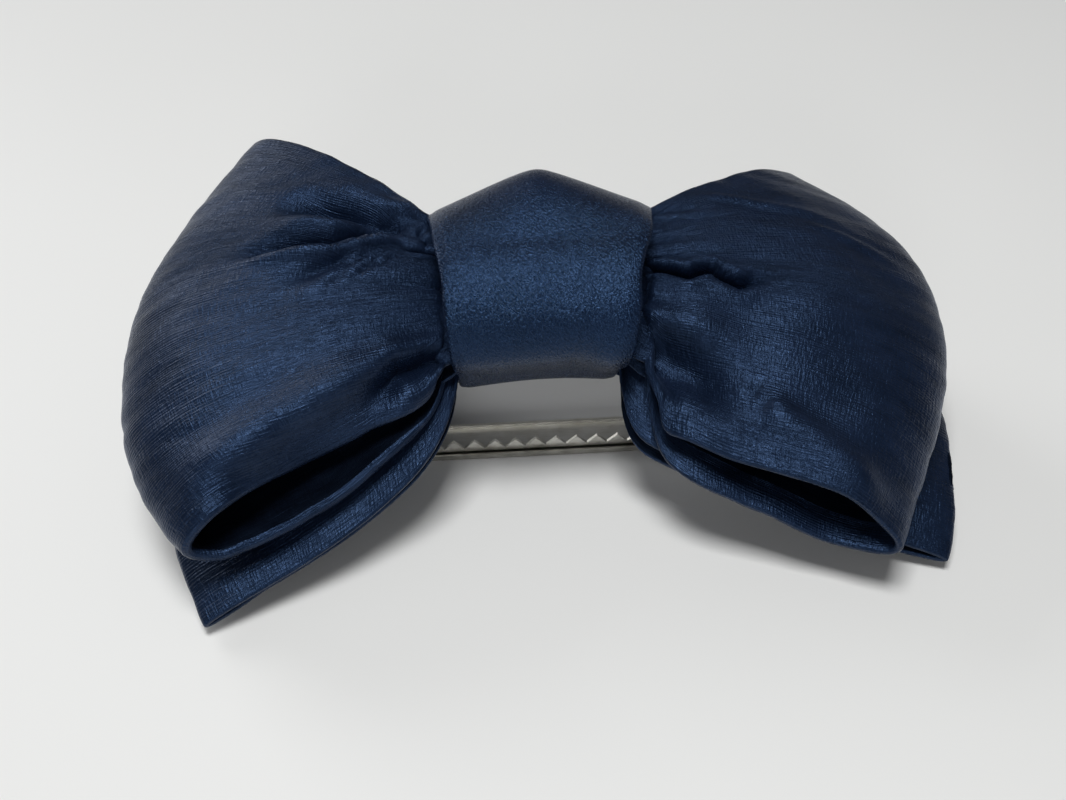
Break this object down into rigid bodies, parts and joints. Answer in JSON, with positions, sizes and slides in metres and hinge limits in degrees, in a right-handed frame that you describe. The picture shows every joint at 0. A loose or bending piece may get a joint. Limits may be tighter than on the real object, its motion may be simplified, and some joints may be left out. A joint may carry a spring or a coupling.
{
  "type": "hair bow",
  "caption": "Double fabric hair bow with puffed loops, a pressed back layer and a wrapped knot, on an arched spring-closed clip with a toothed jaw",
  "frame": {"origin": "Middle of the lower jaw's flat underside, which rests on a surface", "axes": "+X along the bow towards the hinge end, +Y towards the bow's upper edge, +Z out of the bow's face"},
  "size_m": [0.1244, 0.0683, 0.0415],
  "materials": {
    "taffeta": "navy taffeta with a crosswise slub and a soft sheen",
    "satin": "navy satin with a diagonal weave and a bright sheen",
    "lining": "dark navy ribbon lining",
    "thread": "dark navy polyester thread",
    "glue": "clear amber hot-melt glue",
    "clip_metal": "warm silver plated sheet steel",
    "pin_steel": "plain steel pin and rivets",
    "spring_steel": "dark spring wire"
  },
  "bodies": {
    "bow": {"front_ribbon": "taffeta", "back_ribbon": "taffeta", "knot_band": "satin", "gather_thread": "thread", "knot_stitches": "thread", "glue_pad": "glue", "jaw_lining": "lining", "upper_jaw": "clip_metal", "hinge_pin": "pin_steel", "torsion_spring": "spring_steel"},
    "jaw": {"lower_jaw": "clip_metal", "toothed_strip": "clip_metal", "strip_rivets": "pin_steel", "spring_jaw_leg": "spring_steel"}
  },
  "joints": [
    {"name": "jaw_hinge", "type": "hinge", "parent": "bow", "child": "jaw", "pos_m": [0.039, 0, 0.0036], "axis": [0, -1, 0], "range_deg": [0, 30], "stiffness_Nm_per_rad": 0.03}
  ]
}
